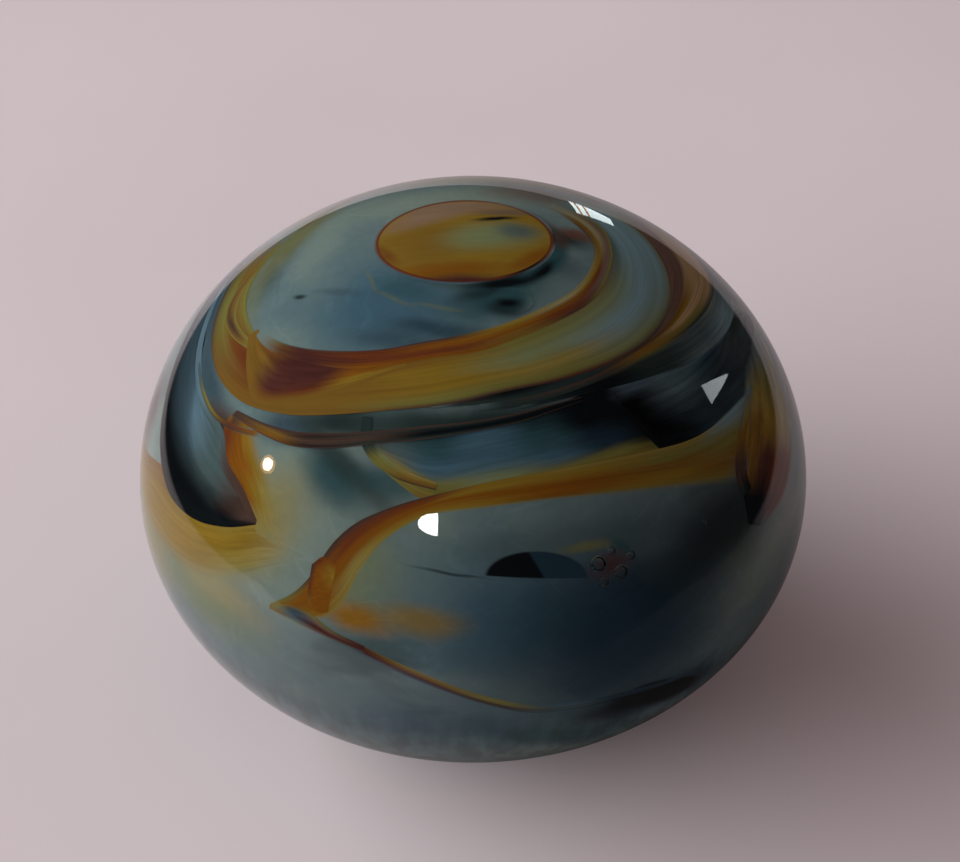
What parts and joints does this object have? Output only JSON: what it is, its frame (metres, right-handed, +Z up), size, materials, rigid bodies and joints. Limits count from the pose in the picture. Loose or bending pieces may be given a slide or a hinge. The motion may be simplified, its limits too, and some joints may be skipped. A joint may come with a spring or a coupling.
{
  "type": "paperweight",
  "caption": "Solid domed art-glass paperweight: a marbled teal, amber and plum spiral in a clear casing on a flat ground foot.",
  "frame": {"origin": "centre of the ground foot, on the surface it rests on", "axes": "+Z up along the axis of the dome, +X to the right and -Y towards the side seen first"},
  "size_m": [0.08, 0.08, 0.0574],
  "materials": {
    "clear_glass": "clear polished glass",
    "core_glass": "smoky blue-green glass",
    "opal_teal": "milky teal-blue opal glass",
    "amber_glass": "amber glass, orange to olive",
    "eye_amber": "amber eye, ochre to olive-green",
    "red_brown_glass": "red-brown glass",
    "plum_glass": "plum glass",
    "umber_glass": "dark umber glass",
    "olive_glass": "olive glass, ochre to grey-teal",
    "ochre_glass": "ochre glass",
    "dark_teal_glass": "black-green glass",
    "blue_glass": "clear teal to navy glass",
    "smoke_glass": "grey-teal smoky glass",
    "window_glass": "deep clear glass, seen dark",
    "yellow_glass": "golden yellow glass fading into the ground"
  },
  "bodies": {
    "root": {"clear_casing": "clear_glass", "core_gather": "core_glass", "opal_ground": "opal_teal", "eye_lens": "eye_amber", "eye_rim": "red_brown_glass", "eye_shadow": "dark_teal_glass", "teal_drop": "dark_teal_glass", "inner_ribbon": "red_brown_glass", "plum_patch": "plum_glass", "hook_thread": "red_brown_glass", "olive_band": "olive_glass", "umber_ribbon": "umber_glass", "ochre_thread": "ochre_glass", "smoke_wisp": "smoke_glass", "brown_thread": "umber_glass", "orange_drop": "amber_glass", "nose_tip": "plum_glass", "lower_thread": "amber_glass", "fold_thread": "plum_glass", "amber_band": "amber_glass", "pocket_thread": "yellow_glass", "left_thread": "yellow_glass", "right_fold": "amber_glass", "foot_streak": "plum_glass", "back_umber_thread": "umber_glass", "back_ochre_band": "ochre_glass", "left_window": "window_glass", "right_window": "window_glass", "back_window": "window_glass", "blue_pocket": "blue_glass", "left_hook": "amber_glass", "yellow_crescent": "yellow_glass", "back_amber_wave": "amber_glass", "back_thread": "ochre_glass"}
  },
  "joints": []
}
